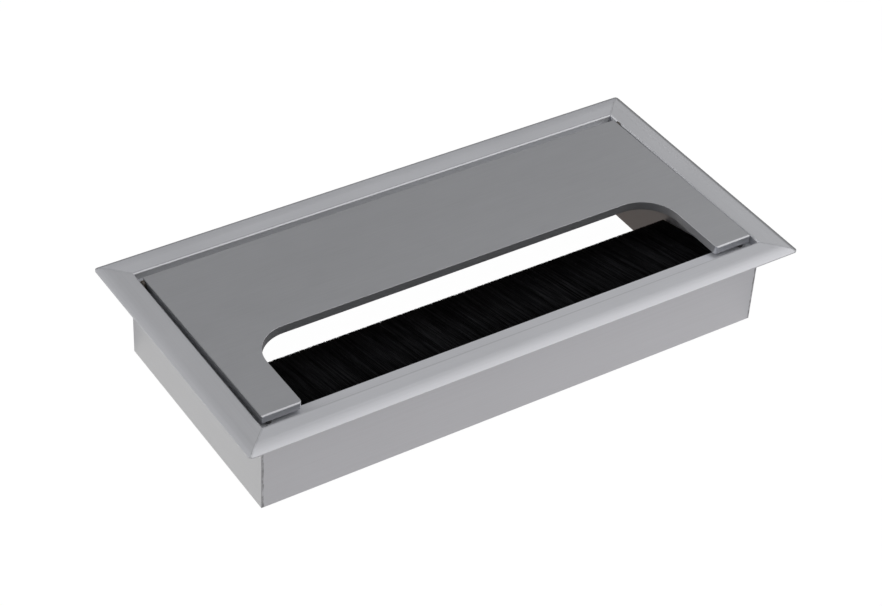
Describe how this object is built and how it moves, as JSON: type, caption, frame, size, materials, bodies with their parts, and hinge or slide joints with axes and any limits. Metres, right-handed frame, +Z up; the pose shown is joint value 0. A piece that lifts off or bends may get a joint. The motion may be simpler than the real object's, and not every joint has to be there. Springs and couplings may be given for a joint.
{
  "type": "desk grommet",
  "caption": "Rectangular flush desk grommet: a mitred aluminium frame with a flange, a notched lid that flips up and a brush seal that cables pass through.",
  "frame": {"origin": "centre of the footprint, at the bottom edge of the skirt; the flange's underside is 24 mm above it", "axes": "+X along the long side, +Y towards the hinge side, -Y towards the brush side, +Z up, out of the desk"},
  "size_m": [0.16, 0.08, 0.026],
  "materials": {
    "frame_anodised": "satin natural anodised extrusion",
    "lid_brushed": "brushed along the long side, anodised",
    "key_nylon": "moulded glass-filled nylon",
    "insert_nylon": "moulded nylon, grey brown",
    "pin_steel": "ground steel",
    "pad_rubber": "soft black rubber",
    "channel_zinc": "galvanised strip",
    "wire_steel": "drawn wire",
    "bristle_fibre": "black nylon filament"
  },
  "bodies": {
    "frame": {"frame_bar_front": "frame_anodised", "frame_bar_back": "frame_anodised", "frame_bar_left": "frame_anodised", "frame_bar_right": "frame_anodised", "corner_key_front_left": "key_nylon", "corner_key_front_right": "key_nylon", "corner_key_back_left": "key_nylon", "corner_key_back_right": "key_nylon", "hinge_insert_left": "insert_nylon", "hinge_insert_right": "insert_nylon", "brush_channel": "channel_zinc", "brush_core_wire": "wire_steel", "brush_bristles": "bristle_fibre"},
    "lid": {"lid": "lid_brushed", "hinge_pin_left": "pin_steel", "hinge_pin_right": "pin_steel", "lid_pad_left": "pad_rubber", "lid_pad_right": "pad_rubber"}
  },
  "joints": [
    {"name": "lid_hinge", "type": "hinge", "parent": "frame", "child": "lid", "pos_m": [0, 0.02855, 0.02428], "axis": [-1, 0, 0], "range_deg": [0, 98]}
  ]
}
